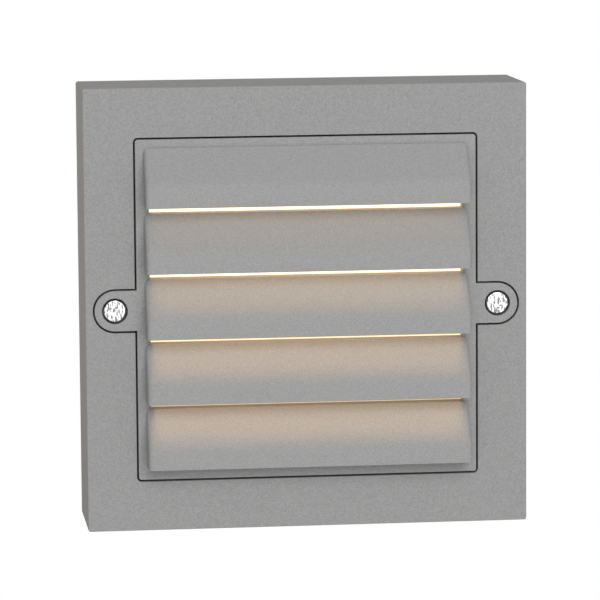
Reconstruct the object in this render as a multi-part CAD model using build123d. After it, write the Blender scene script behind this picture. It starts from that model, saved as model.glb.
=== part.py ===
from build123d import *
import os
from math import atan, sin, tan

# Square step light for a wall: a cast housing with a flush louvred cover.
# X is the light's right as a viewer sees it, Y runs into the wall, Z is up.
# The origin is the centre of the rear face, on the wall. All sizes are in millimetres.

# --- Housing ---
BODY_SIDE = 140.0
BODY_DEPTH = 35.0
BODY_WALL = 3.0
FRONT_PLATE = 3.0
REAR_WALL = 3.5
BODY_CORNER_RADIUS = 0.8
BODY_EDGE_RADIUS = 0.4
FRAME_WIDTH = 15.6
LEDGE_WIDTH = 3.9
CHAMBER_WALL = 3.5
POCKET_WALL = 3.0
RIB_THICKNESS = 2.0
RIB_SPACING = 60.0
RIB_SETBACK = 4.5
PAD_MARGIN = 2.0
PAD_THICKNESS = 3.0
LEDGE_THICKNESS = 3.0

# --- Seal between housing and wall ---
WALL_SEAL_THICKNESS = 1.5
WALL_SEAL_WIDTH = 2.5
WALL_SEAL_INSET = 0.3

# --- Louvred cover ---
COVER_THICKNESS = 5.0
COVER_CORNER_RADIUS = 0.9
COVER_EDGE_RADIUS = 0.25
SEAM_GAP = 0.6
EAR_RADIUS = 6.4
EAR_OFFSET = 6.3
LOUVRE_COUNT = 5
LOUVRE_SIDE_MARGIN = 2.6
LOUVRE_TOP_MARGIN = 2.65
LOUVRE_BOTTOM_MARGIN = 4.3
LOUVRE_REACH = 9.1
LOUVRE_STEP = 0.8
LOUVRE_LAND = 6.4
LOUVRE_KNEE_RADIUS = 7.0
LOUVRE_SIDE_RADIUS = 1.5
LOUVRE_CORNER_RADIUS = 1.9
SLOT_HEIGHT = 2.3
BLADE_THICKNESS = 2.0
CHEEK_THICKNESS = 1.6

# --- Glass and its seal ---
GLASS_THICKNESS = 3.0
GLASS_CORNER_RADIUS = 1.5
GLASS_SEAL_WEB = 1.2
GLASS_SEAL_LIP = 1.0
SEAL_CLEARANCE = 0.3

# --- Cover screws, M4 with a low round head ---
SCREW_RADIUS = 2.0
SCREW_LENGTH = 16.0
SCREW_HEAD_RADIUS = 3.5
SCREW_HEAD_HEIGHT = 2.6
SCREW_HEAD_EDGE = 0.5
SCREW_HEAD_SETBACK = 0.3
SCREW_SOCKET = 2.5
SCREW_SOCKET_DEPTH = 1.5
SCREW_TIP = 0.5
SCREW_BOSS_WALL = 2.5
SCREW_HOLE_SPARE = 1.5
THREAD_CLEARANCE = 0.05
COUNTERBORE_CLEARANCE = 0.6
COVER_HOLE_CLEARANCE = 0.25
WASHER_THICKNESS = 0.6
WASHER_CLEARANCE = 0.3

# --- Small screws, M3 with a pan head ---
SMALL_SCREW_RADIUS = 1.5
SMALL_HEAD_RADIUS = 2.75
SMALL_HEAD_HEIGHT = 2.0
SMALL_HEAD_EDGE = 0.6
SMALL_SCREW_GRIP = 2.6
POST_GRIP = 5.0
LED_SCREW_GRIP = 4.0
SMALL_HOLE_SPARE = 0.3
DRIVE_SLOT_WIDTH = 0.8
DRIVE_SLOT_LENGTH = 3.4
DRIVE_SLOT_DEPTH = 1.0
HOLE_CLEARANCE = 0.2

# --- Layout of the chamber: lamp zone above, screw strip, gear zone below ---
POST_RADIUS = 3.0
POST_INSET = 4.0
TRAY_CLEARANCE = 1.0
TRAY_THICKNESS = 1.0
GLASS_STANDOFF = 3.0
STRIP_HEIGHT = 9.0
LOWER_POST_MARGIN = 2.5
GEAR_BOTTOM_MARGIN = 3.5
GEAR_TOP_MARGIN = 2.5

# --- Lamp ---
PEDESTAL_HEIGHT = 2.5
LED_PAD_THICKNESS = 0.3
LED_BOARD_THICKNESS = 1.6
LED_BOARD_SIDE_MARGIN = 6.0
LED_BOARD_TOP_MARGIN = 6.5
LED_BOARD_BOTTOM_MARGIN = 5.5
LED_SCREW_INSET = 3.0
LED_MARGIN = 1.0
LED_COLUMN_PITCH = 11.0
LED_ROW_PITCH = 7.5
LED_WIDTH = 3.5
LED_HEIGHT = 2.8
LED_THICKNESS = 0.7
REFLECTOR_THICKNESS = 1.0
REFLECTOR_FLANGE = 6.5
REFLECTOR_FLARE = 9.0
REFLECTOR_GAP = 0.3
CONNECTOR_WIDTH = 10.0
CONNECTOR_HEIGHT = 3.4
CONNECTOR_THICKNESS = 3.2

# --- Driver ---
DRIVER_WIDTH = 26.0
DRIVER_CORNER_RADIUS = 1.5
DRIVER_CLEARANCE = 1.0
DRIVER_END_MARGIN = 8.5
DRIVER_EAR_LENGTH = 6.0
DRIVER_EAR_WIDTH = 6.0
DRIVER_EAR_THICKNESS = 2.0

# --- Terminal block ---
POLE_COUNT = 3
POLE_PITCH = 9.0
TERMINAL_WIDTH = 14.0
TERMINAL_HEIGHT = 13.0
TERMINAL_GAP = 7.0
WIRING_SPACE = 26.5
TERMINAL_AXIS_HEIGHT = 5.0
INSERT_RADIUS = 2.5
INSERT_BORE_RADIUS = 1.1
INSERT_SETBACK = 1.0
INSERT_CLEARANCE = 0.05
CLAMP_SCREW_RADIUS = 1.5
CLAMP_SCREW_LENGTH = 5.0
CLAMP_SCREW_INSET = 3.5
TERMINAL_FLOOR = 8.5

# --- Gear cover ---
GEAR_COVER_LIP_GAP = 4.5
WIRE_NOTCH_WIDTH = 12.0
WIRE_NOTCH_DEPTH = 5.0

# --- Earth point ---
EARTH_OFFSET = 3.5
EARTH_BOSS_RADIUS = 3.9
EARTH_LUG_THICKNESS = 0.8
EARTH_LUG_RADIUS = 3.8
EARTH_BARREL_RADIUS = 1.6
EARTH_BARREL_LENGTH = 4.0
EARTH_BARREL_GAP = 0.5
EARTH_GRIP = 4.5

# --- Wires ---
WIRE_RADIUS = 0.9
LED_WIRE_RADIUS = 0.7
LED_WIRE_PITCH = 4.0
LED_WIRE_OFFSET = 15.0
WIRE_BEND_RADIUS = 2.4
WIRE_INSERTION = 6.0

# --- Cable entry and wall fixing ---
CABLE_RADIUS = 3.5
GROMMET_WALL = 1.9
GROMMET_FLANGE = 1.1
GROMMET_FLANGE_THICKNESS = 1.2
GROMMET_CLEARANCE = 0.1
CABLE_ENTRY_INSET_X = 11.0
CABLE_ENTRY_INSET_Z = 13.5
MOUNT_SLOT_RADIUS = 2.3
MOUNT_SLOT_LENGTH = 9.0
MOUNT_SLOT_SPACING = 76.0

# --- Smallest distance that tells two edges apart ---
TOLERANCE = 0.001

# --- Depths, as Y: the wall is at 0 and the front face at -BODY_DEPTH ---
FRONT = -BODY_DEPTH
REAR = -WALL_SEAL_THICKNESS
FLOOR = REAR - REAR_WALL
FRONT_PLATE_REAR = FRONT + FRONT_PLATE
COVER_REAR = FRONT + COVER_THICKNESS
GLASS_FRONT = COVER_REAR + GLASS_SEAL_LIP
GLASS_REAR = GLASS_FRONT + GLASS_THICKNESS
LEDGE = GLASS_REAR + GLASS_SEAL_LIP
TRAY_REAR = LEDGE + GLASS_STANDOFF
TRAY_FRONT = TRAY_REAR - TRAY_THICKNESS
HEAD_FRONT = FRONT + SCREW_HEAD_SETBACK
HEAD_REAR = HEAD_FRONT + SCREW_HEAD_HEIGHT
WASHER_REAR = HEAD_REAR + WASHER_THICKNESS
SCREW_TIP_Y = HEAD_REAR + SCREW_LENGTH
PEDESTAL_FRONT = FLOOR - PEDESTAL_HEIGHT
LED_PAD_FRONT = PEDESTAL_FRONT - LED_PAD_THICKNESS
BOARD_FRONT = LED_PAD_FRONT - LED_BOARD_THICKNESS
DRIVER_HEIGHT = FLOOR - TRAY_REAR - DRIVER_CLEARANCE
TERMINAL_AXIS = FLOOR - TERMINAL_AXIS_HEIGHT
EARTH_SEAT = TERMINAL_AXIS + EARTH_BARREL_RADIUS

# --- Half widths and positions, as X and Z ---
POCKET_HALF = BODY_SIDE / 2 - FRAME_WIDTH
COVER_HALF = POCKET_HALF - SEAM_GAP
CHAMBER_HALF = POCKET_HALF - LEDGE_WIDTH
SCREW_X = POCKET_HALF + EAR_OFFSET
LOUVRE_HALF = COVER_HALF - LOUVRE_SIDE_MARGIN
SLOT_HALF = LOUVRE_HALF - CHEEK_THICKNESS
LOUVRE_TOP = COVER_HALF - LOUVRE_TOP_MARGIN
LOUVRE_FIELD = 2 * COVER_HALF - LOUVRE_TOP_MARGIN - LOUVRE_BOTTOM_MARGIN
LOUVRE_HEIGHT = (LOUVRE_FIELD + SLOT_HEIGHT) / LOUVRE_COUNT - SLOT_HEIGHT
LOUVRE_PITCH = LOUVRE_HEIGHT + SLOT_HEIGHT
LOUVRE_SLOPE = atan((LOUVRE_REACH - LOUVRE_STEP) / (LOUVRE_HEIGHT - LOUVRE_LAND))
POST_HALF = CHAMBER_HALF - POST_INSET
GEAR_Z = -CHAMBER_HALF + GEAR_BOTTOM_MARGIN + DRIVER_WIDTH / 2
GEAR_TOP = GEAR_Z + DRIVER_WIDTH / 2 + GEAR_TOP_MARGIN
LAMP_BOTTOM = GEAR_TOP + STRIP_HEIGHT
STRIP_Z = (GEAR_TOP + LAMP_BOTTOM) / 2
BOARD_TOP = CHAMBER_HALF - LED_BOARD_TOP_MARGIN
BOARD_BOTTOM = LAMP_BOTTOM + LED_BOARD_BOTTOM_MARGIN
BOARD_HALF = CHAMBER_HALF - LED_BOARD_SIDE_MARGIN
TRAY_HALF = CHAMBER_HALF - TRAY_CLEARANCE
REFLECTOR_Z = (LAMP_BOTTOM + TRAY_HALF) / 2
MOUTH_WIDTH = 2 * (TRAY_HALF - REFLECTOR_FLANGE)
MOUTH_HEIGHT = TRAY_HALF - LAMP_BOTTOM - 2 * REFLECTOR_FLANGE
LED_COLUMNS = 1 + int((MOUTH_WIDTH - 2 * REFLECTOR_FLARE - 2 * LED_MARGIN - LED_WIDTH) / LED_COLUMN_PITCH)
LED_ROWS = 1 + int((MOUTH_HEIGHT - 2 * REFLECTOR_FLARE - 2 * LED_MARGIN - LED_HEIGHT) / LED_ROW_PITCH)
TERMINAL_X = -CHAMBER_HALF + WIRING_SPACE + TERMINAL_WIDTH / 2
TERMINAL_RIGHT = TERMINAL_X + TERMINAL_WIDTH / 2
DRIVER_LEFT = TERMINAL_RIGHT + TERMINAL_GAP
DRIVER_RIGHT = CHAMBER_HALF - DRIVER_END_MARGIN
POLE_HEIGHTS = [GEAR_Z + POLE_PITCH * (1 - pole) for pole in range(POLE_COUNT)]
EARTH_X = TERMINAL_RIGHT + EARTH_OFFSET
GROMMET_X = -CHAMBER_HALF + CABLE_ENTRY_INSET_X
GROMMET_Z = -CHAMBER_HALF + CABLE_ENTRY_INSET_Z
GROMMET_RADIUS = CABLE_RADIUS + GROMMET_WALL
LED_WIRE_XS = [DRIVER_LEFT + LED_WIRE_OFFSET, DRIVER_LEFT + LED_WIRE_OFFSET + LED_WIRE_PITCH]
LED_WIRE_Y = BOARD_FRONT - CONNECTOR_THICKNESS / 2
TRAY_POSTS = [(x, z) for x in (-POST_HALF, POST_HALF) for z in (POST_HALF, LAMP_BOTTOM + LOWER_POST_MARGIN)]
GEAR_POST_TOP = GEAR_TOP - TRAY_THICKNESS - POST_INSET
GEAR_POSTS = [(x, z) for x in (-POST_HALF, POST_HALF) for z in (GEAR_POST_TOP, -POST_HALF)]


# --- Shapes that several pieces share ---

def facing(depth):
    """The plane at a depth that looks at the viewer: its x is X and its y is Z."""
    return Plane(origin=(0, depth, 0), x_dir=(1, 0, 0), z_dir=(0, -1, 0))


def slab(outline, rear, front):
    """An outline in X and Z, made solid from the rear depth to the front depth."""
    return extrude(facing(rear) * outline, rear - front)


def round_square(half, radius):
    """A square outline with rounded corners."""
    return RectangleRounded(2 * half, 2 * half, radius)


def patch(left, right, bottom, top):
    """A rectangle between two X values and two Z values."""
    return Pos((left + right) / 2, (bottom + top) / 2) * Rectangle(right - left, top - bottom)


def disc(x, z, radius):
    """A round outline about a point."""
    return Pos(x, z) * Circle(radius)


def cover_outline(grow):
    """The cover's square with its two ears, grown evenly all round."""
    outline = round_square(COVER_HALF + grow, COVER_CORNER_RADIUS + grow)
    radius = EAR_RADIUS + grow
    outline += patch(-SCREW_X, SCREW_X, -radius, radius)
    for x in (-SCREW_X, SCREW_X):
        outline += disc(x, 0, radius)
    return outline


def pan_screw(x, z, seat, tip, radius=SMALL_SCREW_RADIUS, head_radius=SMALL_HEAD_RADIUS):
    """A pan-head screw with a cross recess; its head rests at the seat depth."""
    top = seat - SMALL_HEAD_HEIGHT
    head = slab(disc(x, z, head_radius), seat, top)
    head = fillet(head.faces().sort_by(Axis.Y)[0].edges(), SMALL_HEAD_EDGE)
    for width, height in ((DRIVE_SLOT_LENGTH, DRIVE_SLOT_WIDTH), (DRIVE_SLOT_WIDTH, DRIVE_SLOT_LENGTH)):
        head -= slab(Pos(x, z) * Rectangle(width, height), top + DRIVE_SLOT_DEPTH, top)
    return head + slab(disc(x, z, radius), tip, seat)


def wire(points, radius, bend=WIRE_BEND_RADIUS):
    """A round wire along straight runs with an arc at each corner."""
    path = Polyline(*points) if len(points) == 2 else FilletPolyline(*points, radius=bend)
    return sweep(Plane(path @ 0, z_dir=path % 0) * Circle(radius), path=path)


# --- Housing ---

def housing_walls():
    """Outer shell, front frame, chamber and pocket walls and the ribs between them."""
    body = slab(round_square(BODY_SIDE / 2, BODY_CORNER_RADIUS), REAR, FRONT)
    body = fillet(body.faces().sort_by(Axis.Y)[0].edges(), BODY_EDGE_RADIUS)
    inside = BODY_SIDE / 2 - BODY_WALL
    body -= slab(round_square(inside, BODY_CORNER_RADIUS), REAR, FRONT_PLATE_REAR)
    body += slab(round_square(CHAMBER_HALF + CHAMBER_WALL, BODY_WALL), REAR, FRONT_PLATE_REAR)
    pocket_outside = round_square(POCKET_HALF + POCKET_WALL, BODY_WALL)
    body += slab(pocket_outside, LEDGE + LEDGE_THICKNESS, FRONT_PLATE_REAR)
    start = CHAMBER_HALF + CHAMBER_WALL / 2
    end = BODY_SIDE / 2 - BODY_WALL / 2
    for side in (-1, 1):
        for place in (-RIB_SPACING / 2, RIB_SPACING / 2):
            middle = side * (start + end) / 2
            level_rib = Pos(middle, place) * Rectangle(end - start, RIB_THICKNESS)
            upright_rib = Pos(place, middle) * Rectangle(RIB_THICKNESS, end - start)
            for rib in (level_rib, upright_rib):
                body += slab(rib, REAR - RIB_SETBACK, FRONT_PLATE_REAR)
        pad_half = EAR_RADIUS + SEAM_GAP + PAD_MARGIN
        low, high = sorted((side * POCKET_HALF, side * end))
        body += slab(patch(low, high, -pad_half, pad_half), COVER_REAR + PAD_THICKNESS, FRONT_PLATE_REAR)
        boss = disc(side * SCREW_X, 0, SCREW_RADIUS + SCREW_BOSS_WALL)
        body += slab(boss, SCREW_TIP_Y + SCREW_HOLE_SPARE + SCREW_BOSS_WALL, COVER_REAR)
    return body


def housing_fixtures():
    """Posts, lamp pedestal and earth boss, standing on the chamber's floor."""
    fixtures = slab(patch(-BOARD_HALF, BOARD_HALF, BOARD_BOTTOM, BOARD_TOP), FLOOR, PEDESTAL_FRONT)
    fixtures += slab(disc(EARTH_X, STRIP_Z, EARTH_BOSS_RADIUS), FLOOR, EARTH_SEAT)
    for x, z in TRAY_POSTS + GEAR_POSTS:
        low, high = sorted((x, (CHAMBER_HALF + CHAMBER_WALL / 2) * (1 if x > 0 else -1)))
        web = patch(low, high, z - RIB_THICKNESS / 2, z + RIB_THICKNESS / 2)
        fixtures += slab(disc(x, z, POST_RADIUS) + web, FLOOR, TRAY_REAR)
    return fixtures


def housing():
    body = housing_walls()
    body -= slab(round_square(POCKET_HALF, COVER_CORNER_RADIUS + SEAM_GAP), LEDGE, FRONT)
    body -= slab(cover_outline(SEAM_GAP), COVER_REAR, FRONT)
    body -= slab(round_square(CHAMBER_HALF, GLASS_CORNER_RADIUS), FLOOR, LEDGE)
    body += housing_fixtures()
    thread = SCREW_RADIUS + THREAD_CLEARANCE
    small_thread = SMALL_SCREW_RADIUS + THREAD_CLEARANCE
    for x in (-SCREW_X, SCREW_X):
        body -= slab(disc(x, 0, thread), SCREW_TIP_Y + SCREW_HOLE_SPARE, COVER_REAR)
    for x, z in TRAY_POSTS + GEAR_POSTS:
        body -= slab(disc(x, z, small_thread), TRAY_REAR + POST_GRIP + SMALL_HOLE_SPARE, TRAY_REAR)
    pedestal_hole_end = PEDESTAL_FRONT + LED_SCREW_GRIP + SMALL_HOLE_SPARE
    for x, z in LED_SCREWS:
        body -= slab(disc(x, z, small_thread), pedestal_hole_end, PEDESTAL_FRONT)
    for x, z in DRIVER_SCREWS + TERMINAL_SCREWS:
        body -= slab(disc(x, z, small_thread), FLOOR + SMALL_SCREW_GRIP + SMALL_HOLE_SPARE, FLOOR)
    body -= slab(disc(EARTH_X, STRIP_Z, thread), EARTH_SEAT + EARTH_GRIP + SMALL_HOLE_SPARE, EARTH_SEAT)
    body -= slab(disc(GROMMET_X, GROMMET_Z, GROMMET_RADIUS + GROMMET_CLEARANCE), REAR, FLOOR)
    for x in (-MOUNT_SLOT_SPACING / 2, MOUNT_SLOT_SPACING / 2):
        body -= slab(Pos(x, STRIP_Z) * SlotOverall(MOUNT_SLOT_LENGTH, 2 * MOUNT_SLOT_RADIUS), REAR, FLOOR)
    return body


def wall_seal():
    outer = BODY_SIDE / 2 - WALL_SEAL_INSET
    ring = round_square(outer, BODY_CORNER_RADIUS) - round_square(outer - WALL_SEAL_WIDTH, BODY_CORNER_RADIUS)
    return slab(ring, 0, REAR)


def cable_grommet():
    """A rubber bush in the rear wall, with a flange on each side of it."""
    flange = disc(GROMMET_X, GROMMET_Z, GROMMET_RADIUS + GROMMET_FLANGE)
    bush = slab(disc(GROMMET_X, GROMMET_Z, GROMMET_RADIUS), REAR, FLOOR)
    bush += slab(flange, REAR + GROMMET_FLANGE_THICKNESS, REAR)
    bush += slab(flange, FLOOR, FLOOR - GROMMET_FLANGE_THICKNESS)
    return bush - slab(disc(GROMMET_X, GROMMET_Z, CABLE_RADIUS), 0, TRAY_REAR)


# --- Louvred cover ---

def louvre_block(top):
    """One louvre as a solid: a small step, a slope outwards, a round knee and an upright land."""
    bottom = top - LOUVRE_HEIGHT
    root = FRONT + BLADE_THICKNESS
    knee = bottom + LOUVRE_LAND
    corners = [
        (root, top),
        (FRONT - LOUVRE_STEP, top),
        (FRONT - LOUVRE_REACH, knee),
        (FRONT - LOUVRE_REACH, bottom),
        (root, bottom),
    ]
    block = extrude(Plane.YZ * make_face(Polyline(*corners, close=True)), LOUVRE_HALF, both=True)
    front_edges = block.edges().filter_by(Axis.X).group_by(Axis.Y)[0]
    block = fillet(front_edges.sort_by(Axis.Z)[-1], LOUVRE_KNEE_RADIUS)
    ends = block.faces().filter_by(Axis.X).edges()
    in_front = [edge for edge in ends if edge.center().Y < root - TOLERANCE]
    sides = [edge for edge in in_front if bottom + TOLERANCE < edge.center().Z < top - TOLERANCE]
    block = fillet(sides, LOUVRE_SIDE_RADIUS)
    outline = patch(-LOUVRE_HALF, LOUVRE_HALF, bottom, top)
    outline = fillet(outline.vertices().group_by(Axis.Y)[-1], LOUVRE_CORNER_RADIUS)
    return block & slab(outline, FRONT, FRONT - 2 * LOUVRE_REACH)


def louvre_hollow(top, bottom):
    """The space behind one louvre's blade, open to the chamber and, down to bottom, to the slot."""
    inner_top = top - BLADE_THICKNESS / sin(LOUVRE_SLOPE)
    inner_front = FRONT - LOUVRE_REACH + BLADE_THICKNESS
    inner_knee = inner_top - (LOUVRE_REACH - LOUVRE_STEP - BLADE_THICKNESS) / tan(LOUVRE_SLOPE)
    corners = [
        (COVER_REAR, inner_top),
        (FRONT - LOUVRE_STEP, inner_top),
        (inner_front, inner_knee),
        (inner_front, bottom),
        (COVER_REAR, bottom),
    ]
    return extrude(Plane.YZ * make_face(Polyline(*corners, close=True)), SLOT_HALF, both=True)


def louvre_cover():
    cover = slab(cover_outline(0), COVER_REAR, FRONT)
    cover = fillet(cover.faces().sort_by(Axis.Y)[0].edges(), COVER_EDGE_RADIUS)
    tops = [LOUVRE_TOP - LOUVRE_PITCH * place for place in range(LOUVRE_COUNT)]
    for top in tops:
        cover += louvre_block(top)
    for top in tops[:-1]:
        cover -= louvre_hollow(top, top - LOUVRE_PITCH)
    last = tops[-1]
    cover -= louvre_hollow(last, last - LOUVRE_HEIGHT + BLADE_THICKNESS)
    for x in (-SCREW_X, SCREW_X):
        cover -= slab(disc(x, 0, SCREW_HEAD_RADIUS + COUNTERBORE_CLEARANCE), WASHER_REAR, FRONT)
        cover -= slab(disc(x, 0, SCREW_RADIUS + COVER_HOLE_CLEARANCE), COVER_REAR, FRONT)
    return cover


def cover_screw(x):
    """An M4 screw with a low round head and a hexagon socket."""
    head = slab(disc(x, 0, SCREW_HEAD_RADIUS), HEAD_REAR, HEAD_FRONT)
    head = fillet(head.faces().sort_by(Axis.Y)[0].edges(), SCREW_HEAD_EDGE)
    socket = Pos(x, 0) * RegularPolygon(SCREW_SOCKET / 2, 6, major_radius=False)
    head -= slab(socket, HEAD_FRONT + SCREW_SOCKET_DEPTH, HEAD_FRONT)
    shank = slab(disc(x, 0, SCREW_RADIUS), SCREW_TIP_Y, HEAD_REAR)
    shank = chamfer(shank.faces().sort_by(Axis.Y)[-1].edges(), SCREW_TIP)
    return head + shank


def screw_washers():
    outer = SCREW_HEAD_RADIUS + WASHER_CLEARANCE
    inner = SCREW_RADIUS + COVER_HOLE_CLEARANCE
    return [slab(disc(x, 0, outer) - disc(x, 0, inner), WASHER_REAR, HEAD_REAR) for x in (-SCREW_X, SCREW_X)]


# --- Glass ---

SEAL_HALF = POCKET_HALF - SEAL_CLEARANCE
GLASS_HALF = SEAL_HALF - GLASS_SEAL_WEB


def diffuser_glass():
    return slab(round_square(GLASS_HALF, GLASS_CORNER_RADIUS), GLASS_REAR, GLASS_FRONT)


def glass_seal():
    """A ring of U section that wraps the glass's edge."""
    opening = round_square(CHAMBER_HALF + SEAL_CLEARANCE, GLASS_CORNER_RADIUS)
    ring = slab(round_square(SEAL_HALF, GLASS_CORNER_RADIUS) - opening, LEDGE, COVER_REAR)
    return ring - diffuser_glass()


# --- Lamp ---

LED_SCREWS = [
    (side * (BOARD_HALF - LED_SCREW_INSET), z)
    for side in (-1, 1)
    for z in (BOARD_BOTTOM + LED_SCREW_INSET, BOARD_TOP - LED_SCREW_INSET)
]


def board_outline():
    outline = patch(-BOARD_HALF, BOARD_HALF, BOARD_BOTTOM, BOARD_TOP)
    for x, z in LED_SCREWS:
        outline -= disc(x, z, SMALL_SCREW_RADIUS + HOLE_CLEARANCE)
    return outline


def thermal_pad():
    return slab(board_outline(), PEDESTAL_FRONT, LED_PAD_FRONT)


def led_board():
    return slab(board_outline(), LED_PAD_FRONT, BOARD_FRONT)


def led_chips():
    chips = []
    for column in range(LED_COLUMNS):
        for row in range(LED_ROWS):
            x = LED_COLUMN_PITCH * (column - (LED_COLUMNS - 1) / 2)
            z = REFLECTOR_Z + LED_ROW_PITCH * (row - (LED_ROWS - 1) / 2)
            chip = Pos(x, z) * Rectangle(LED_WIDTH, LED_HEIGHT)
            chips.append(slab(chip, BOARD_FRONT, BOARD_FRONT - LED_THICKNESS))
    return chips


def led_board_screws():
    return [pan_screw(x, z, BOARD_FRONT, PEDESTAL_FRONT + LED_SCREW_GRIP) for x, z in LED_SCREWS]


def led_connector():
    left = sum(LED_WIRE_XS) / 2 - CONNECTOR_WIDTH / 2
    body = patch(left, left + CONNECTOR_WIDTH, BOARD_BOTTOM, BOARD_BOTTOM + CONNECTOR_HEIGHT)
    return slab(body, BOARD_FRONT, BOARD_FRONT - CONNECTOR_THICKNESS)


def funnel(grow):
    """A tapered block from the board out to the reflector's flange."""
    width = MOUTH_WIDTH + 2 * grow
    height = MOUTH_HEIGHT + 2 * grow
    mouth = Pos(0, REFLECTOR_Z) * Rectangle(width, height)
    throat = Pos(0, REFLECTOR_Z) * Rectangle(width - 2 * REFLECTOR_FLARE, height - 2 * REFLECTOR_FLARE)
    near_board = facing(BOARD_FRONT - REFLECTOR_GAP) * throat
    return loft([near_board, facing(TRAY_FRONT) * mouth], ruled=True)


def reflector():
    """A white funnel round the lamps, with a flange on four posts."""
    flange = slab(patch(-TRAY_HALF, TRAY_HALF, LAMP_BOTTOM, TRAY_HALF), TRAY_REAR, TRAY_FRONT)
    for x, z in TRAY_POSTS:
        flange -= slab(disc(x, z, SMALL_SCREW_RADIUS + HOLE_CLEARANCE), TRAY_REAR, TRAY_FRONT)
    return flange + funnel(REFLECTOR_THICKNESS) - funnel(0)


def tray_screws(posts):
    return [pan_screw(x, z, TRAY_FRONT, TRAY_REAR + POST_GRIP) for x, z in posts]


# --- Driver ---

DRIVER_SCREWS = [
    (DRIVER_LEFT - DRIVER_EAR_LENGTH / 2, GEAR_Z - POLE_PITCH / 2),
    (DRIVER_RIGHT + DRIVER_EAR_LENGTH / 2, GEAR_Z),
]


def driver():
    """The sealed power supply with a fixing ear at each end."""
    case = patch(DRIVER_LEFT, DRIVER_RIGHT, GEAR_Z - DRIVER_WIDTH / 2, GEAR_Z + DRIVER_WIDTH / 2)
    body = slab(case, FLOOR, FLOOR - DRIVER_HEIGHT)
    body = fillet(body.edges().filter_by(Axis.Y), DRIVER_CORNER_RADIUS)
    for x, z in DRIVER_SCREWS:
        ear = Pos(x, z) * Rectangle(DRIVER_EAR_LENGTH, DRIVER_EAR_WIDTH)
        body += slab(ear, FLOOR, FLOOR - DRIVER_EAR_THICKNESS)
        body -= slab(disc(x, z, SMALL_SCREW_RADIUS + HOLE_CLEARANCE), FLOOR, FLOOR - DRIVER_EAR_THICKNESS)
    return body


def driver_screws():
    seat = FLOOR - DRIVER_EAR_THICKNESS
    return [pan_screw(x, z, seat, FLOOR + SMALL_SCREW_GRIP) for x, z in DRIVER_SCREWS]


# --- Terminal block ---

TERMINAL_SCREWS = [(TERMINAL_X, GEAR_Z + side * POLE_PITCH / 2) for side in (-1, 1)]
CLAMP_XS = [TERMINAL_X - CLAMP_SCREW_INSET, TERMINAL_X + CLAMP_SCREW_INSET]
TERMINAL_FRONT = FLOOR - TERMINAL_HEIGHT
CLAMP_TIP = TERMINAL_AXIS - INSERT_BORE_RADIUS


def crosswise(z, radius, half_length):
    """A rod along X at a pole's height, centred in the terminal block."""
    section = Plane(origin=(TERMINAL_X, TERMINAL_AXIS, z), z_dir=(1, 0, 0)) * Circle(radius)
    return extrude(section, half_length, both=True)


def terminal_block():
    half_height = POLE_COUNT * POLE_PITCH / 2
    outline = Pos(TERMINAL_X, GEAR_Z) * Rectangle(TERMINAL_WIDTH, 2 * half_height)
    block = slab(outline, FLOOR, TERMINAL_FRONT)
    insert_half = TERMINAL_WIDTH / 2 - INSERT_SETBACK
    for z in POLE_HEIGHTS:
        block -= crosswise(z, INSERT_RADIUS + INSERT_CLEARANCE, insert_half)
        block -= crosswise(z, INSERT_BORE_RADIUS, TERMINAL_WIDTH)
        for x in CLAMP_XS:
            block -= slab(disc(x, z, CLAMP_SCREW_RADIUS + HOLE_CLEARANCE), TERMINAL_AXIS, TERMINAL_FRONT)
    for x, z in TERMINAL_SCREWS:
        block -= slab(disc(x, z, SMALL_SCREW_RADIUS + HOLE_CLEARANCE), FLOOR, TERMINAL_FRONT)
        block -= slab(disc(x, z, SMALL_HEAD_RADIUS + HOLE_CLEARANCE), FLOOR - TERMINAL_FLOOR, TERMINAL_FRONT)
    return block


def terminal_inserts():
    """Brass sleeves that join the wires of each pole."""
    inserts = []
    for z in POLE_HEIGHTS:
        insert = crosswise(z, INSERT_RADIUS, TERMINAL_WIDTH / 2 - INSERT_SETBACK)
        insert -= crosswise(z, INSERT_BORE_RADIUS, TERMINAL_WIDTH)
        for x in CLAMP_XS:
            insert -= slab(disc(x, z, CLAMP_SCREW_RADIUS + THREAD_CLEARANCE), TERMINAL_AXIS, TERMINAL_FRONT)
        inserts.append(insert)
    return inserts


def terminal_clamp_screws():
    screws = []
    for z in POLE_HEIGHTS:
        for x in CLAMP_XS:
            top = CLAMP_TIP - CLAMP_SCREW_LENGTH
            screw = slab(disc(x, z, CLAMP_SCREW_RADIUS), CLAMP_TIP, top)
            slot = Pos(x, z) * Rectangle(2 * CLAMP_SCREW_RADIUS, DRIVE_SLOT_WIDTH)
            screws.append(screw - slab(slot, top + DRIVE_SLOT_DEPTH, top))
    return screws


def terminal_block_screws():
    seat = FLOOR - TERMINAL_FLOOR
    return [pan_screw(x, z, seat, FLOOR + SMALL_SCREW_GRIP) for x, z in TERMINAL_SCREWS]


# --- Gear cover ---

def gear_cover():
    """A folded sheet over the driver and terminals, with notches where wires leave it."""
    cover = slab(patch(-TRAY_HALF, TRAY_HALF, -TRAY_HALF, GEAR_TOP), TRAY_REAR, TRAY_FRONT)
    lip_rear = FLOOR - GEAR_COVER_LIP_GAP
    cover += slab(patch(-TRAY_HALF, TRAY_HALF, GEAR_TOP - TRAY_THICKNESS, GEAR_TOP), lip_rear, TRAY_REAR)
    for x in (EARTH_X, sum(LED_WIRE_XS) / 2):
        notch = patch(x - WIRE_NOTCH_WIDTH / 2, x + WIRE_NOTCH_WIDTH / 2, GEAR_TOP - TRAY_THICKNESS, GEAR_TOP)
        cover -= slab(notch, lip_rear, lip_rear - WIRE_NOTCH_DEPTH)
    for x, z in GEAR_POSTS:
        cover -= slab(disc(x, z, SMALL_SCREW_RADIUS + HOLE_CLEARANCE), TRAY_REAR, TRAY_FRONT)
    return cover


# --- Earth point ---

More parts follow.
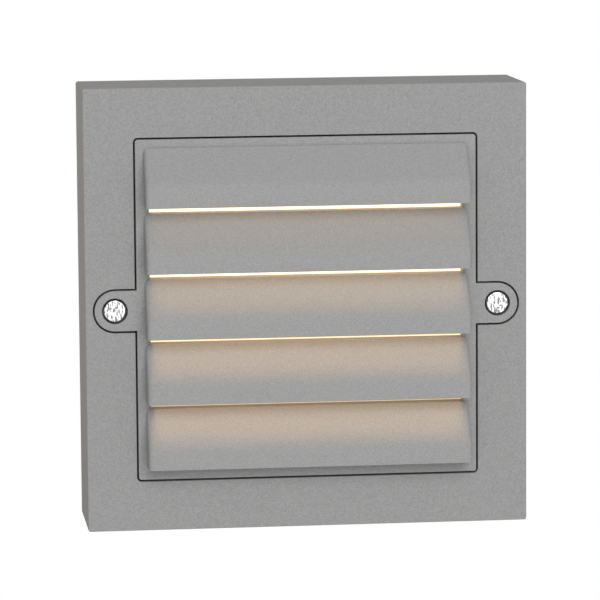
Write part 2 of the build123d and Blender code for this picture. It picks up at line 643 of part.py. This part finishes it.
BARREL_TOP = STRIP_Z - EARTH_LUG_RADIUS - EARTH_BARREL_GAP
BARREL_BOTTOM = BARREL_TOP - EARTH_BARREL_LENGTH
LUG_FRONT = EARTH_SEAT - EARTH_LUG_THICKNESS


def earth_lug():
    """A ring tag with a crimped barrel below it."""
    tongue = patch(EARTH_X - EARTH_BARREL_RADIUS, EARTH_X + EARTH_BARREL_RADIUS, BARREL_TOP, STRIP_Z)
    ring = disc(EARTH_X, STRIP_Z, EARTH_LUG_RADIUS) + tongue
    lug = slab(ring - disc(EARTH_X, STRIP_Z, SCREW_RADIUS + HOLE_CLEARANCE), EARTH_SEAT, LUG_FRONT)
    barrel = Plane(origin=(EARTH_X, TERMINAL_AXIS, BARREL_BOTTOM)) * Circle(EARTH_BARREL_RADIUS)
    bore = Plane(origin=(EARTH_X, TERMINAL_AXIS, BARREL_BOTTOM)) * Circle(WIRE_RADIUS + THREAD_CLEARANCE)
    lug += extrude(barrel, EARTH_BARREL_LENGTH)
    return lug - extrude(bore, EARTH_BARREL_LENGTH)


def earth_screw():
    head = SCREW_HEAD_RADIUS
    return pan_screw(EARTH_X, STRIP_Z, LUG_FRONT, EARTH_SEAT + EARTH_GRIP, SCREW_RADIUS, head)


# --- Wires ---

def pole_wire(pole):
    """A straight wire from a pole of the terminal block to the driver's end."""
    start = TERMINAL_RIGHT - WIRE_INSERTION
    z = POLE_HEIGHTS[pole]
    return wire([(start, TERMINAL_AXIS, z), (DRIVER_LEFT, TERMINAL_AXIS, z)], WIRE_RADIUS)


def earth_wire():
    """From the top pole, sideways and then up into the barrel of the earth lug."""
    z = POLE_HEIGHTS[0]
    points = [
        (TERMINAL_RIGHT - WIRE_INSERTION, TERMINAL_AXIS, z),
        (EARTH_X, TERMINAL_AXIS, z),
        (EARTH_X, TERMINAL_AXIS, BARREL_TOP),
    ]
    return wire(points, WIRE_RADIUS)


def led_wire(x):
    """From the driver's upper side straight up to the connector on the lamp board."""
    start = (x, LED_WIRE_Y, GEAR_Z + DRIVER_WIDTH / 2)
    end = (x, LED_WIRE_Y, BOARD_BOTTOM)
    return wire([start, end], LED_WIRE_RADIUS)


PIECES = {
    "housing": housing(),
    "wall_seal": wall_seal(),
    "cable_grommet": cable_grommet(),
    "louvre_cover": louvre_cover(),
    "cover_screw_left": cover_screw(-SCREW_X),
    "cover_screw_right": cover_screw(SCREW_X),
    "screw_washers": screw_washers(),
    "diffuser_glass": diffuser_glass(),
    "glass_seal": glass_seal(),
    "thermal_pad": thermal_pad(),
    "led_board": led_board(),
    "led_chips": led_chips(),
    "led_board_screws": led_board_screws(),
    "led_connector": led_connector(),
    "reflector": reflector(),
    "reflector_screws": tray_screws(TRAY_POSTS),
    "driver": driver(),
    "driver_screws": driver_screws(),
    "terminal_block": terminal_block(),
    "terminal_inserts": terminal_inserts(),
    "terminal_clamp_screws": terminal_clamp_screws(),
    "terminal_block_screws": terminal_block_screws(),
    "gear_cover": gear_cover(),
    "gear_cover_screws": tray_screws(GEAR_POSTS),
    "earth_lug": earth_lug(),
    "earth_screw": earth_screw(),
    "neutral_wire": pole_wire(1),
    "line_wire": pole_wire(2),
    "earth_wire": earth_wire(),
    "led_wire_positive": led_wire(LED_WIRE_XS[0]),
    "led_wire_negative": led_wire(LED_WIRE_XS[1]),
}

os.makedirs("parts", exist_ok=True)
for name, piece in PIECES.items():
    solids = piece if isinstance(piece, list) else piece.solids()
    export_step(solids[0] if len(solids) == 1 else Compound(solids), f"parts/{name}.step")
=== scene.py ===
from math import radians

import bpy
import numpy as np
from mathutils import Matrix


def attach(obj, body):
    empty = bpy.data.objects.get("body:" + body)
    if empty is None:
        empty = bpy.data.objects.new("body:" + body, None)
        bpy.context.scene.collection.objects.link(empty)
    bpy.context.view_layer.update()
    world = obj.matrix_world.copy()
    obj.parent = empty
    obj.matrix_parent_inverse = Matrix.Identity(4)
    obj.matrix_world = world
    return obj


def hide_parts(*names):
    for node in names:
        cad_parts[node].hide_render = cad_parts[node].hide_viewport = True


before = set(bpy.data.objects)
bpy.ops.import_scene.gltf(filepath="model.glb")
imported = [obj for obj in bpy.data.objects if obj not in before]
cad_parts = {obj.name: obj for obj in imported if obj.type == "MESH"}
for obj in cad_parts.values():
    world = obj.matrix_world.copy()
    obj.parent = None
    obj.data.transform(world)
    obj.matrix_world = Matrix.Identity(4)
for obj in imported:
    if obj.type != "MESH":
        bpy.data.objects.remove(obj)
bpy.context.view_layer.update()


# --- Camera ---
# The light is seen from a little to the left and a little above, through a long lens.
# Lens, place and turn come from the edges of the body in the photograph.

camera = bpy.data.objects.new("camera", bpy.data.cameras.new("camera"))
camera.data.sensor_width = 36.0
camera.data.lens = 233.78
camera.location = (-0.14261, -1.2446, 0.15668)
camera.rotation_euler = (radians(82.775), radians(0.433), radians(-6.672))
bpy.context.scene.collection.objects.link(camera)
bpy.context.scene.camera = camera
bpy.context.scene.view_settings.view_transform = "Standard"


# --- Room: white surroundings and two soft lamps ---
# The world looks white in views and in gloss, and lights the object less than that.
# The large lamp stands in front, a little above and to the right.
# A weak warm one behind and to the left stands for the light that a wall throws on the sides.

AMBIENT = 0.41


def seen_directly(nodes, join):
    """One for a ray from the camera, a glossy ray or a ray through glass, and nought for others."""
    path = nodes.new("ShaderNodeLightPath")
    camera_or_gloss = nodes.new("ShaderNodeMath")
    camera_or_gloss.operation = "MAXIMUM"
    or_through = nodes.new("ShaderNodeMath")
    or_through.operation = "MAXIMUM"
    join(path.outputs["Is Camera Ray"], camera_or_gloss.inputs[0])
    join(path.outputs["Is Glossy Ray"], camera_or_gloss.inputs[1])
    join(camera_or_gloss.outputs[0], or_through.inputs[0])
    join(path.outputs["Is Transmission Ray"], or_through.inputs[1])
    return or_through.outputs[0]


world = bpy.data.worlds.new("white_room")
bpy.context.scene.world = world
world.use_nodes = True
nodes = world.node_tree.nodes
nodes.clear()
join = world.node_tree.links.new
seen = nodes.new("ShaderNodeBackground")
seen.inputs["Color"].default_value = (1.0, 1.0, 1.0, 1.0)
seen.inputs["Strength"].default_value = 1.0
felt = nodes.new("ShaderNodeBackground")
felt.inputs["Color"].default_value = (1.0, 1.0, 1.0, 1.0)
felt.inputs["Strength"].default_value = AMBIENT
choice = nodes.new("ShaderNodeMixShader")
output = nodes.new("ShaderNodeOutputWorld")
join(seen_directly(nodes, join), choice.inputs[0])
join(felt.outputs[0], choice.inputs[1])
join(seen.outputs[0], choice.inputs[2])
join(choice.outputs[0], output.inputs["Surface"])

for name, size, energy, color, location, rotation in (
    ("soft_lamp", 1.2, 14.3, (1.0, 1.0, 1.0), (0.1, -1.5, 0.62), (67.6, 0.0, 3.8)),
    ("wall_light", 0.6, 0.5, (1.0, 0.72, 0.4), (-0.36, 0.36, 0.12), (77.0, 0.0, -135.0)),
):
    lamp_data = bpy.data.lights.new(name, "AREA")
    lamp_data.shape = "DISK"
    lamp_data.size = size
    lamp_data.energy = energy
    lamp_data.color = color
    lamp = bpy.data.objects.new(name, lamp_data)
    lamp.location = location
    lamp.rotation_euler = [radians(angle) for angle in rotation]
    lamp.visible_camera = False
    bpy.context.scene.collection.objects.link(lamp)


# --- Floor ---
# A plain pale disc well below the light, which keeps its shadow near the middle.
# Further out it fades to the white of the surroundings, in views only.

FLOOR_RADIUS = 2.4
FLOOR_HEIGHT = -0.42
FLOOR_RINGS = 6
FLOOR_SIDES = 96
FADE_START = 0.5
FADE_END = 1.5


def disc_points(radius, height, rings, sides):
    """Points of a flat disc: ring radius times cosine and sine of the angle, at one height."""
    ring, angle = np.meshgrid(
        np.linspace(radius / rings, radius, rings),
        np.linspace(0.0, 2.0 * np.pi, sides, endpoint=False),
        indexing="ij",
    )
    rim = np.stack([ring * np.cos(angle), ring * np.sin(angle), np.full_like(ring, height)], axis=-1)
    return np.vstack([[[0.0, 0.0, height]], rim.reshape(-1, 3)])


def disc_faces(rings, sides):
    """Triangles from the middle to the first ring, then quads from each ring to the next."""
    step = np.arange(sides)
    following = (step + 1) % sides
    middle = np.stack([np.zeros(sides, int), 1 + step, 1 + following], axis=1).tolist()
    inner = 1 + np.arange(rings - 1)[:, None] * sides
    quads = np.stack(
        [inner + step, inner + sides + step, inner + sides + following, inner + following], axis=-1
    )
    return middle + quads.reshape(-1, 4).tolist()


floor_mesh = bpy.data.meshes.new("floor")
floor_points = disc_points(FLOOR_RADIUS, FLOOR_HEIGHT, FLOOR_RINGS, FLOOR_SIDES)
floor_mesh.from_pydata(floor_points.tolist(), [], disc_faces(FLOOR_RINGS, FLOOR_SIDES))
floor = bpy.data.objects.new("floor", floor_mesh)
bpy.context.scene.collection.objects.link(floor)

floor_paint = bpy.data.materials.new("floor_paint")
floor_paint.use_nodes = True
nodes = floor_paint.node_tree.nodes
nodes.clear()
join = floor_paint.node_tree.links.new
place = nodes.new("ShaderNodeTexCoord")
reach = nodes.new("ShaderNodeVectorMath")
reach.operation = "LENGTH"
fade = nodes.new("ShaderNodeMapRange")
fade.interpolation_type = "SMOOTHSTEP"
fade.inputs["From Min"].default_value = FADE_START
fade.inputs["From Max"].default_value = FADE_END
matt = nodes.new("ShaderNodeBsdfDiffuse")
matt.inputs["Color"].default_value = (0.9, 0.9, 0.9, 1.0)
lift = nodes.new("ShaderNodeEmission")
lift.inputs["Color"].default_value = (1.0, 1.0, 1.0, 1.0)
lift.inputs["Strength"].default_value = 0.38
near = nodes.new("ShaderNodeAddShader")
white = nodes.new("ShaderNodeEmission")
white.inputs["Color"].default_value = (1.0, 1.0, 1.0, 1.0)
white.inputs["Strength"].default_value = 1.0
seen = nodes.new("ShaderNodeMixShader")
choice = nodes.new("ShaderNodeMixShader")
output = nodes.new("ShaderNodeOutputMaterial")
join(place.outputs["Object"], reach.inputs[0])
join(reach.outputs["Value"], fade.inputs["Value"])
join(matt.outputs[0], near.inputs[0])
join(lift.outputs[0], near.inputs[1])
join(fade.outputs["Result"], seen.inputs[0])
join(near.outputs[0], seen.inputs[1])
join(white.outputs[0], seen.inputs[2])
join(seen_directly(nodes, join), choice.inputs[0])
join(matt.outputs[0], choice.inputs[1])
join(seen.outputs[0], choice.inputs[2])
join(choice.outputs[0], output.inputs["Surface"])
floor_mesh.materials.append(floor_paint)


# --- Housing and louvred cover ---
# Both are aluminium castings with one grey powder coat.
# The coat is matt with a fine grit, and its tone wanders slightly from grain to grain.
# The cover's coat is a touch lighter than the housing's.

COAT_GRAIN = 0.0004
COAT_GRAIN_DEPTH = 0.00008


def finish(name, color, roughness, metallic=0.0):
    """A new material with one plain shader, and that shader."""
    made = bpy.data.materials.new(name)
    made.use_nodes = True
    shader = made.node_tree.nodes["Principled BSDF"]
    shader.inputs["Base Color"].default_value = (*color, 1.0)
    shader.inputs["Roughness"].default_value = roughness
    shader.inputs["Metallic"].default_value = metallic
    return made, shader


def mottle(made, shader, dark, light, size, detail=2.0):
    """Colour wanders between two tones; size is the width of a patch in metres."""
    nodes = made.node_tree.nodes
    join = made.node_tree.links.new
    place = nodes.new("ShaderNodeTexCoord")
    noise = nodes.new("ShaderNodeTexNoise")
    noise.inputs["Scale"].default_value = 1.0 / size
    noise.inputs["Detail"].default_value = detail
    ramp = nodes.new("ShaderNodeValToRGB")
    ramp.color_ramp.elements[0].position = 0.3
    ramp.color_ramp.elements[0].color = (*dark, 1.0)
    ramp.color_ramp.elements[1].position = 0.7
    ramp.color_ramp.elements[1].color = (*light, 1.0)
    join(place.outputs["Object"], noise.inputs["Vector"])
    join(noise.outputs["Fac"], ramp.inputs["Fac"])
    join(ramp.outputs["Color"], shader.inputs["Base Color"])
    return ramp


def grain(made, shader, size, depth, detail=2.0):
    """A rough skin: bumps of a size and a depth in metres."""
    nodes = made.node_tree.nodes
    join = made.node_tree.links.new
    place = nodes.new("ShaderNodeTexCoord")
    noise = nodes.new("ShaderNodeTexNoise")
    noise.inputs["Scale"].default_value = 1.0 / size
    noise.inputs["Detail"].default_value = detail
    bump = nodes.new("ShaderNodeBump")
    bump.inputs["Strength"].default_value = 1.0
    bump.inputs["Distance"].default_value = depth
    join(place.outputs["Object"], noise.inputs["Vector"])
    join(noise.outputs["Fac"], bump.inputs["Height"])
    join(bump.outputs["Normal"], shader.inputs["Normal"])


def coat(material, *names):
    """The CAD nodes with these names take the material in every slot."""
    for name in names:
        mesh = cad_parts[name].data
        mesh.materials.clear()
        mesh.materials.append(material)


for name, dark, light in (
    ("housing", (0.302, 0.302, 0.301), (0.388, 0.388, 0.387)),
    ("louvre_cover", (0.316, 0.316, 0.315), (0.406, 0.406, 0.405)),
):
    powder_coat, shader = finish(name + "_coat", light, 0.62)
    shader.inputs["Specular IOR Level"].default_value = 0.02
    mottle(powder_coat, shader, dark, light, COAT_GRAIN)
    grain(powder_coat, shader, COAT_GRAIN, COAT_GRAIN_DEPTH)
    coat(powder_coat, name)


# --- Wall seal ---
# A ring of warm beige cellular foam, squeezed between the housing's rear edge and the wall.
# The squeeze makes both its sides bulge, so a thin line of foam shows all round the housing; its
# warm tone there is partly painted light, a warm rim on the rear edges.

SEAL_THICKNESS = 0.0015
SEAL_WIDTH = 0.0025
SEAL_HALF = 0.0697
SEAL_CORNER_RADIUS = 0.0008
SEAL_BULGE = 0.00028
SEAL_SIDE_ROWS = 9
SEAL_CORNER_STEPS = 7


def squeezed_ring(rows, steps):
    """Points of a ring whose section has two level faces and two bulged sides.

    Across the ring, a side stands out by the bulge times the sine of its share of the thickness.
    Along it, each row runs round a square with corners of one radius, each of them a quarter circle.
    """
    share = np.linspace(0.0, 1.0, rows)
    bulge = SEAL_BULGE * np.sin(np.pi * share)
    half = SEAL_HALF + np.concatenate([bulge, -SEAL_WIDTH - bulge])[:, None]
    depth = -SEAL_THICKNESS * np.concatenate([share, 1.0 - share])[:, None]
    quarter = np.repeat(np.arange(4), steps) * np.pi / 2.0
    angle = quarter + np.tile(np.linspace(0.0, np.pi / 2.0, steps), 4)
    across = (half - SEAL_CORNER_RADIUS) * np.sign(np.cos(quarter + np.pi / 4.0))
    upward = (half - SEAL_CORNER_RADIUS) * np.sign(np.sin(quarter + np.pi / 4.0))
    x = across + SEAL_CORNER_RADIUS * np.cos(angle)
    z = upward + SEAL_CORNER_RADIUS * np.sin(angle)
    return np.stack([x, depth + np.zeros_like(x), z], axis=-1).reshape(-1, 3)


def ring_faces(rows, steps):
    """Quads between neighbouring rows and steps, closed both ways, with their fronts outwards."""
    row, step = np.meshgrid(np.arange(rows), np.arange(steps), indexing="ij")
    next_row = (row + 1) % rows * steps
    next_step = (step + 1) % steps
    row = row * steps
    corners = [row + step, row + next_step, next_row + next_step, next_row + step]
    return np.stack(corners, axis=-1).reshape(-1, 4)


seal_mesh = bpy.data.meshes.new("squeezed_wall_seal")
seal_points = squeezed_ring(SEAL_SIDE_ROWS, SEAL_CORNER_STEPS)
seal_faces = ring_faces(2 * SEAL_SIDE_ROWS, 4 * SEAL_CORNER_STEPS)
seal_mesh.from_pydata(seal_points.tolist(), [], seal_faces.tolist())
squeezed_wall_seal = bpy.data.objects.new("squeezed_wall_seal", seal_mesh)
bpy.context.scene.collection.objects.link(squeezed_wall_seal)

# The warm beige is the foam's own tone and partly painted light for the warm rim on the rear edges.
foam, shader = finish("beige_foam_and_painted_rim", (0.62, 0.47, 0.31), 0.95)
shader.inputs["Specular IOR Level"].default_value = 0.1
mottle(foam, shader, (0.54, 0.4, 0.26), (0.68, 0.53, 0.36), 0.0009, 3.0)
grain(foam, shader, 0.0006, 0.00008, 3.0)
seal_mesh.materials.append(foam)
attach(squeezed_wall_seal, "housing")
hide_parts("wall_seal")
coat(foam, "wall_seal")


# --- Glass and the light through the slots ---
# Frosted glass with a painted glow: warm emission stands in for the lamps shining through it from
# behind, and it is weaker towards the foot.
# Small lamps under the lips of the louvres stand for the light on the slope below each slot.

DIM_HEIGHT = -0.02
BRIGHT_HEIGHT = 0.01

frosted_glass, shader = finish("frosted_glass", (0.8, 0.78, 0.72), 0.5)
grain(frosted_glass, shader, 0.0004, 0.00001)
nodes = frosted_glass.node_tree.nodes
join = frosted_glass.node_tree.links.new
place = nodes.new("ShaderNodeTexCoord")
cloud = nodes.new("ShaderNodeTexNoise")
cloud.inputs["Scale"].default_value = 60.0
cloud.inputs["Detail"].default_value = 2.0
# The glass's warm glow is painted light, with slight patches in its colour.
glow = nodes.new("ShaderNodeValToRGB")
glow.color_ramp.elements[0].position = 0.3
glow.color_ramp.elements[0].color = (1.0, 0.69, 0.41, 1.0)
glow.color_ramp.elements[1].position = 0.7
glow.color_ramp.elements[1].color = (1.0, 0.73, 0.45, 1.0)
split = nodes.new("ShaderNodeSeparateXYZ")
strength = nodes.new("ShaderNodeMapRange")
strength.inputs["From Min"].default_value = DIM_HEIGHT
strength.inputs["From Max"].default_value = BRIGHT_HEIGHT
strength.inputs["To Min"].default_value = 0.9
strength.inputs["To Max"].default_value = 2.15
join(place.outputs["Object"], cloud.inputs["Vector"])
join(cloud.outputs["Fac"], glow.inputs["Fac"])
join(glow.outputs["Color"], shader.inputs["Emission Color"])
join(place.outputs["Object"], split.inputs[0])
join(split.outputs["Z"], strength.inputs["Value"])
join(strength.outputs["Result"], shader.inputs["Emission Strength"])
coat(frosted_glass, "diffuser_glass")

HIGHEST_SLOT = 0.03286
SLOT_SPACING = 0.02059
SLOT_GLOW_WIDTH = 0.098
SLOT_GLOW_HEIGHT = 0.0084
SLOT_GLOW_DEPTH = -0.0395
SLOT_GLOW_DROP = 0.0002
SLOT_GLOW_TILT = -6.0
SLOT_GLOW_SPREAD = 45.0

for slot, energy in enumerate((0.0005, 0.002, 0.0026, 0.0029)):
    glow_data = bpy.data.lights.new(f"slot_glow_{slot + 1}", "AREA")
    glow_data.shape = "RECTANGLE"
    glow_data.size = SLOT_GLOW_WIDTH
    glow_data.size_y = SLOT_GLOW_HEIGHT
    glow_data.spread = radians(SLOT_GLOW_SPREAD)
    glow_data.color = (1.0, 0.62, 0.3)
    glow_data.energy = energy
    slot_glow = bpy.data.objects.new(glow_data.name, glow_data)
    height = HIGHEST_SLOT - SLOT_GLOW_DROP - SLOT_SPACING * slot
    slot_glow.location = (0.0, SLOT_GLOW_DEPTH, height)
    slot_glow.rotation_euler = (radians(SLOT_GLOW_TILT), 0.0, 0.0)
    slot_glow.visible_camera = False
    bpy.context.scene.collection.objects.link(slot_glow)


# --- Rubber ---
# The ring round the glass and the bush in the cable hole are black.
# The washers under the cover's screws are grey.

rubber, shader = finish("black_rubber", (0.03, 0.03, 0.03), 0.7)
mottle(rubber, shader, (0.022, 0.022, 0.022), (0.042, 0.041, 0.04), 0.004)
grain(rubber, shader, 0.0004, 0.00001)
coat(rubber, "glass_seal", "cable_grommet")

grey_rubber, shader = finish("grey_rubber", (0.16, 0.16, 0.16), 0.7)
mottle(grey_rubber, shader, (0.13, 0.13, 0.13), (0.19, 0.19, 0.19), 0.0008)
coat(grey_rubber, "screw_washers")


# --- Cover screws ---
# Two steel machine screws with low bright heads, which hold the cover by its ears.
# Short grey dashes stand upright on the heads; they are painted reflection, the dark specks within
# the heads' bright glint.

DASHES_PER_METRE = (2100.0, 2100.0, 600.0)

steel_with_painted_reflection, shader = finish("steel_with_painted_reflection", (0.95, 0.95, 0.95), 0.34, 1.0)
nodes = steel_with_painted_reflection.node_tree.nodes
join = steel_with_painted_reflection.node_tree.links.new
place = nodes.new("ShaderNodeTexCoord")
stretch = nodes.new("ShaderNodeVectorMath")
stretch.operation = "MULTIPLY"
stretch.inputs[1].default_value = DASHES_PER_METRE
dashes = nodes.new("ShaderNodeTexNoise")
dashes.inputs["Scale"].default_value = 1.0
dashes.inputs["Detail"].default_value = 2.0
# The dark dashes on the bright steel are painted reflection.
tone = nodes.new("ShaderNodeValToRGB")
tone.color_ramp.elements[0].position = 0.42
tone.color_ramp.elements[0].color = (0.2, 0.2, 0.2, 1.0)
tone.color_ramp.elements[1].position = 0.55
tone.color_ramp.elements[1].color = (0.98, 0.98, 0.975, 1.0)
join(place.outputs["Object"], stretch.inputs[0])
join(stretch.outputs[0], dashes.inputs["Vector"])
join(dashes.outputs["Fac"], tone.inputs["Fac"])
join(tone.outputs["Color"], shader.inputs["Base Color"])
coat(steel_with_painted_reflection, "cover_screw_left", "cover_screw_right")


# --- Small screws and earth tag ---
# Zinc-plated steel with a fine cloudy bloom; the tag is tinned and a little duller.

plated_steel, shader = finish("plated_steel", (0.8, 0.8, 0.79), 0.3, 1.0)
mottle(plated_steel, shader, (0.68, 0.68, 0.67), (0.9, 0.9, 0.88), 0.0006, 3.0)
grain(plated_steel, shader, 0.0004, 0.00001)
coat(
    plated_steel,
    "led_board_screws",
    "reflector_screws",
    "driver_screws",
    "terminal_clamp_screws",
    "terminal_block_screws",
    "gear_cover_screws",
    "earth_screw",
)

tinned, shader = finish("tinned_copper", (0.72, 0.71, 0.68), 0.42, 1.0)
mottle(tinned, shader, (0.6, 0.59, 0.56), (0.8, 0.79, 0.76), 0.0011, 3.0)
coat(tinned, "earth_lug")


# --- Lamp board ---
# A white board with fine solder lines on a grey heat pad, and a white wire connector.
# Each lamp is a white chip with a round yellow window, and the windows are lit.

board, shader = finish("board_lacquer", (0.82, 0.82, 0.8), 0.38)
mottle(board, shader, (0.78, 0.78, 0.76), (0.86, 0.86, 0.84), 0.003)
grain(board, shader, 0.0009, 0.00001)
coat(board, "led_board")

pad, shader = finish("heat_pad", (0.3, 0.35, 0.4), 0.85)
mottle(pad, shader, (0.26, 0.31, 0.36), (0.34, 0.39, 0.44), 0.0012, 3.0)
coat(pad, "thermal_pad")

nylon, shader = finish("white_nylon", (0.8, 0.79, 0.75), 0.5)
mottle(nylon, shader, (0.76, 0.75, 0.7), (0.84, 0.83, 0.79), 0.003)
coat(nylon, "led_connector")

LAMP_COLUMN_PITCH = 0.011
LAMP_ROW_PITCH = 0.0075
LAMPS_MIDDLE = 0.02
WINDOW_INNER_RADIUS = 0.00102
WINDOW_OUTER_RADIUS = 0.00112

chips, shader = finish("lamp_chips", (0.85, 0.84, 0.78), 0.35)
nodes = chips.node_tree.nodes
join = chips.node_tree.links.new
place = nodes.new("ShaderNodeTexCoord")
split = nodes.new("ShaderNodeSeparateXYZ")
offsets = []
for axis, pitch, middle in (("X", LAMP_COLUMN_PITCH, 0.0), ("Z", LAMP_ROW_PITCH, LAMPS_MIDDLE)):
    cell = nodes.new("ShaderNodeMath")
    cell.operation = "MULTIPLY_ADD"
    cell.inputs[1].default_value = 1.0 / pitch
    cell.inputs[2].default_value = 0.5 - middle / pitch
    away = nodes.new("ShaderNodeMath")
    away.operation = "PINGPONG"
    away.inputs[1].default_value = 0.5
    metres = nodes.new("ShaderNodeMath")
    metres.operation = "MULTIPLY"
    metres.inputs[1].default_value = pitch
    join(split.outputs[axis], cell.inputs[0])
    join(cell.outputs[0], away.inputs[0])
    join(away.outputs[0], metres.inputs[0])
    offsets.append(metres.outputs[0])
pair = nodes.new("ShaderNodeCombineXYZ")
distance = nodes.new("ShaderNodeVectorMath")
distance.operation = "LENGTH"
window = nodes.new("ShaderNodeMapRange")
window.inputs["From Min"].default_value = WINDOW_OUTER_RADIUS
window.inputs["From Max"].default_value = WINDOW_INNER_RADIUS
body_or_window = nodes.new("ShaderNodeValToRGB")
body_or_window.color_ramp.elements[0].color = (0.85, 0.84, 0.78, 1.0)
body_or_window.color_ramp.elements[1].color = (0.95, 0.68, 0.08, 1.0)
light = nodes.new("ShaderNodeValToRGB")
light.color_ramp.elements[0].color = (0.0, 0.0, 0.0, 1.0)
light.color_ramp.elements[1].color = (1.0, 0.72, 0.3, 1.0)
join(place.outputs["Object"], split.inputs[0])
join(offsets[0], pair.inputs["X"])
join(offsets[1], pair.inputs["Y"])
join(pair.outputs[0], distance.inputs[0])
join(distance.outputs["Value"], window.inputs["Value"])
join(window.outputs["Result"], body_or_window.inputs["Fac"])
join(window.outputs["Result"], light.inputs["Fac"])
join(body_or_window.outputs["Color"], shader.inputs["Base Color"])
join(light.outputs["Color"], shader.inputs["Emission Color"])
shader.inputs["Emission Strength"].default_value = 1.5
coat(chips, "led_chips")


# --- Reflector ---
# A funnel moulded in glossy white plastic, a little uneven in tone.
# It is screwed in front of the lamp board and throws the light onto the glass.

white_plastic, shader = finish("white_reflector", (0.86, 0.86, 0.84), 0.3)
mottle(white_plastic, shader, (0.83, 0.83, 0.81), (0.89, 0.89, 0.87), 0.006)
grain(white_plastic, shader, 0.0025, 0.00003)
coat(white_plastic, "reflector")


# --- Driver ---
# The supply for the lamps, potted in a matt white moulded case.
# The mould was spark-eroded, which leaves a fine even texture.

case, shader = finish("driver_case", (0.7, 0.7, 0.69), 0.7)
mottle(case, shader, (0.66, 0.66, 0.65), (0.74, 0.74, 0.73), 0.002)
grain(case, shader, 0.0005, 0.00003)
coat(case, "driver")


# --- Terminal block ---
# Three brass sleeves, each with two clamp screws, in one block of milky plastic.
# Two small screws between the poles hold the block to the rear wall.

milky, shader = finish("milky_plastic", (0.78, 0.77, 0.7), 0.45)
mottle(milky, shader, (0.72, 0.71, 0.64), (0.83, 0.82, 0.76), 0.004)
shader.inputs["Subsurface Weight"].default_value = 0.25
shader.inputs["Subsurface Scale"].default_value = 0.002
coat(milky, "terminal_block")

brass, shader = finish("turned_brass", (0.78, 0.56, 0.24), 0.32, 1.0)
mottle(brass, shader, (0.68, 0.47, 0.18), (0.86, 0.64, 0.3), 0.0012, 3.0)
coat(brass, "terminal_inserts")


# --- Gear cover ---
# A folded lid of thin steel sheet with light grey paint.
# It covers the driver and the terminals, and small screws hold it.

sheet, shader = finish("painted_sheet", (0.6, 0.6, 0.6), 0.48)
mottle(sheet, shader, (0.57, 0.57, 0.57), (0.63, 0.63, 0.63), 0.004)
grain(sheet, shader, 0.0012, 0.00001)
coat(sheet, "gear_cover")


# --- Wires ---
# Single wires with glossy insulation: blue, brown, red and black.
# The earth wire is green, with a yellow stripe along its front.

for name, dark, light in (
    ("neutral_wire", (0.012, 0.06, 0.36), (0.022, 0.1, 0.48)),
    ("line_wire", (0.09, 0.035, 0.015), (0.14, 0.06, 0.025)),
    ("led_wire_positive", (0.42, 0.012, 0.01), (0.55, 0.022, 0.018)),
    ("led_wire_negative", (0.014, 0.014, 0.014), (0.03, 0.03, 0.03)),
):
    insulation, shader = finish(name + "_skin", light, 0.36)
    mottle(insulation, shader, dark, light, 0.002)
    coat(insulation, name)

WIRE_AXIS_DEPTH = -0.0115
STRIPE_START = 0.0004
STRIPE_FULL = 0.0005
STRIPE_WANDER = 0.0002

striped, shader = finish("earth_wire_skin", (0.06, 0.34, 0.05), 0.36)
nodes = striped.node_tree.nodes
join = striped.node_tree.links.new
place = nodes.new("ShaderNodeTexCoord")
split = nodes.new("ShaderNodeSeparateXYZ")
noise = nodes.new("ShaderNodeTexNoise")
noise.inputs["Scale"].default_value = 400.0
wander = nodes.new("ShaderNodeMath")
wander.operation = "MULTIPLY_ADD"
wander.inputs[1].default_value = STRIPE_WANDER
stripe = nodes.new("ShaderNodeMapRange")
stripe.inputs["From Min"].default_value = WIRE_AXIS_DEPTH - STRIPE_START
stripe.inputs["From Max"].default_value = WIRE_AXIS_DEPTH - STRIPE_FULL
green_or_yellow = nodes.new("ShaderNodeValToRGB")
green_or_yellow.color_ramp.elements[0].color = (0.05, 0.32, 0.05, 1.0)
green_or_yellow.color_ramp.elements[1].color = (0.8, 0.62, 0.03, 1.0)
join(place.outputs["Object"], split.inputs[0])
join(place.outputs["Object"], noise.inputs["Vector"])
join(noise.outputs["Fac"], wander.inputs[0])
join(split.outputs["Y"], wander.inputs[2])
join(wander.outputs[0], stripe.inputs["Value"])
join(stripe.outputs["Result"], green_or_yellow.inputs["Fac"])
join(green_or_yellow.outputs["Color"], shader.inputs["Base Color"])
coat(striped, "earth_wire")
